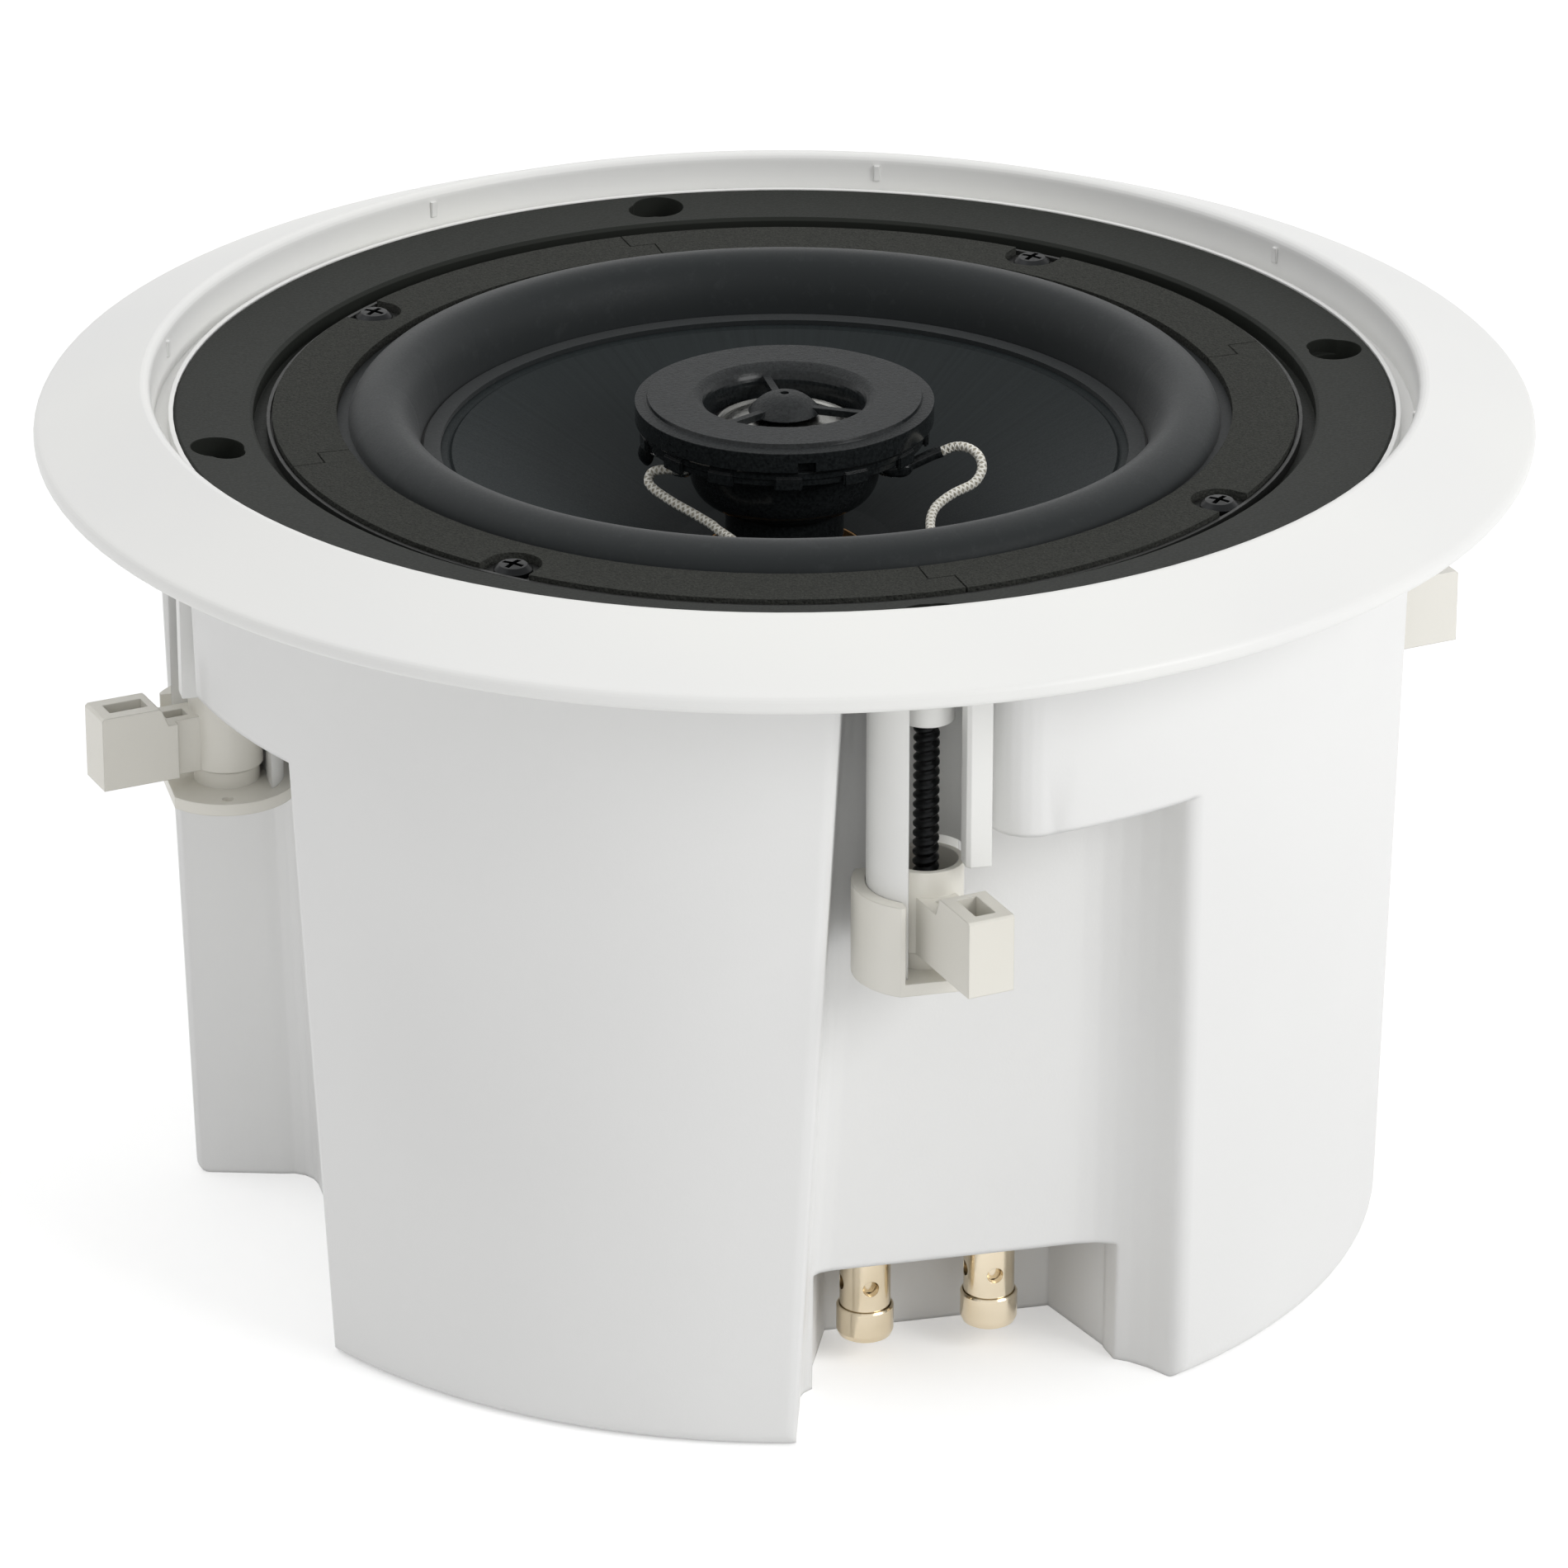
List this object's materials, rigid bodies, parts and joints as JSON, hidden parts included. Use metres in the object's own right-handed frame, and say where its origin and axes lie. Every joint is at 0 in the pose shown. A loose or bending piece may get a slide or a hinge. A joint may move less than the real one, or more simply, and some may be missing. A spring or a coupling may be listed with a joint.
{
  "type": "ceiling speaker",
  "caption": "Round in-ceiling loudspeaker with a white flange, black coaxial driver, swing-out clamps and a white plastic back can",
  "frame": {"origin": "Centre of the speaker's axis at the foot of the back can; the part stands on its can, face up.", "axes": "+Z points out of the speaker's face, away from the ceiling void; -Y is the side with the two terminals and the front clamp; +X is to its right seen from the front."},
  "size_m": [0.236, 0.236, 0.1408],
  "materials": {
    "white_plastic": "matt moulded plastic",
    "can_plastic": "matt moulded plastic",
    "black_abs": "satin moulded plastic",
    "felt": "grainy felt paper",
    "black_steel": "matt black powder coat",
    "surround_rubber": "smooth satin rubber",
    "cone_poly": "satin moulded polypropylene",
    "kraft": "wound paper tube",
    "copper_wire": "enamelled copper wire",
    "spider_cloth": "resin-stiffened cloth",
    "zinc_steel": "zinc plated",
    "ferrite": "fired ferrite",
    "black_screw": "black oxide",
    "tweeter_black": "fine texture with a glossy side",
    "dome_film": "silvery coated film",
    "lead_braid": "braided sleeve",
    "ivory_nylon": "satin nylon",
    "board_green": "solder mask",
    "film_yellow": "wrapped film",
    "pale_gold": "thin gold plate, polished"
  },
  "bodies": {
    "speaker": {"bezel_frame": "white_plastic", "back_can": "can_plastic", "baffle_ring": "black_abs", "gasket_front": "felt", "gasket_right": "felt", "gasket_back": "felt", "gasket_left": "felt", "driver_basket": "black_steel", "surround": "surround_rubber", "spider": "spider_cloth", "top_plate": "zinc_steel", "magnet": "ferrite", "pole_yoke": "zinc_steel", "driver_screws": "black_screw", "tweeter_post": "tweeter_black", "tweeter_housing": "tweeter_black", "tweeter_magnet": "ferrite", "tweeter_horn": "tweeter_black", "tweeter_lead_left": "lead_braid", "tweeter_lead_right": "lead_braid", "clamp_foot_front": "ivory_nylon", "clamp_foot_right": "ivory_nylon", "clamp_foot_back": "ivory_nylon", "clamp_foot_left": "ivory_nylon", "crossover_board": "board_green", "crossover_capacitor": "film_yellow", "crossover_coil": "copper_wire", "crossover_screws": "zinc_steel", "terminal_post_left": "pale_gold", "terminal_post_right": "pale_gold", "terminal_spring_left": "zinc_steel", "terminal_spring_right": "zinc_steel", "terminal_nuts": "pale_gold"},
    "clamp_front_screw": {"clamp_screw_front": "black_screw"},
    "clamp_front_dog": {"clamp_dog_front": "ivory_nylon"},
    "clamp_right_screw": {"clamp_screw_right": "black_screw"},
    "clamp_right_dog": {"clamp_dog_right": "ivory_nylon"},
    "clamp_back_screw": {"clamp_screw_back": "black_screw"},
    "clamp_back_dog": {"clamp_dog_back": "ivory_nylon"},
    "clamp_left_screw": {"clamp_screw_left": "black_screw"},
    "clamp_left_dog": {"clamp_dog_left": "ivory_nylon"},
    "driver_cone": {"cone": "cone_poly", "coil_former": "kraft", "voice_coil": "copper_wire"},
    "dome": {"tweeter_dome": "dome_film"},
    "terminal_left": {"terminal_cap_left": "pale_gold"},
    "terminal_right": {"terminal_cap_right": "pale_gold"}
  },
  "joints": [
    {"name": "clamp_front_swing", "type": "hinge", "parent": "speaker", "child": "clamp_front_screw", "pos_m": [0, -0.0905, 0.09], "axis": [0, 0, 1], "range_deg": [-12, 80]},
    {"name": "clamp_front_climb", "type": "slide", "parent": "clamp_front_screw", "child": "clamp_front_dog", "axis": [0, 0, -1], "range_m": [-0.027, 0]},
    {"name": "clamp_right_swing", "type": "hinge", "parent": "speaker", "child": "clamp_right_screw", "pos_m": [0.0905, 0, 0.09], "axis": [0, 0, 1], "range_deg": [-12, 80]},
    {"name": "clamp_right_climb", "type": "slide", "parent": "clamp_right_screw", "child": "clamp_right_dog", "axis": [0, 0, -1], "range_m": [-0.027, 0]},
    {"name": "clamp_back_swing", "type": "hinge", "parent": "speaker", "child": "clamp_back_screw", "pos_m": [0, 0.0905, 0.09], "axis": [0, 0, 1], "range_deg": [-12, 80]},
    {"name": "clamp_back_climb", "type": "slide", "parent": "clamp_back_screw", "child": "clamp_back_dog", "axis": [0, 0, -1], "range_m": [-0.027, 0]},
    {"name": "clamp_left_swing", "type": "hinge", "parent": "speaker", "child": "clamp_left_screw", "pos_m": [-0.0905, 0, 0.09], "axis": [0, 0, 1], "range_deg": [-12, 80]},
    {"name": "clamp_left_climb", "type": "slide", "parent": "clamp_left_screw", "child": "clamp_left_dog", "axis": [0, 0, -1], "range_m": [-0.027, 0]},
    {"name": "cone_travel", "type": "slide", "parent": "speaker", "child": "driver_cone", "axis": [0, 0, 1], "range_m": [-0.003, 0.003], "stiffness_N_per_m": 1000, "deforming": ["surround", "spider", "tweeter_lead_left", "tweeter_lead_right"]},
    {"name": "dome_travel", "type": "slide", "parent": "speaker", "child": "dome", "axis": [0, 0, 1], "range_m": [-0.0003, 0.0003], "stiffness_N_per_m": 500},
    {"name": "terminal_left_push", "type": "slide", "parent": "speaker", "child": "terminal_left", "axis": [0, 0, 1], "range_m": [0, 0.0025], "stiffness_N_per_m": 400, "deforming": ["terminal_spring_left"]},
    {"name": "terminal_right_push", "type": "slide", "parent": "speaker", "child": "terminal_right", "axis": [0, 0, 1], "range_m": [0, 0.0025], "stiffness_N_per_m": 400, "deforming": ["terminal_spring_right"]}
  ]
}
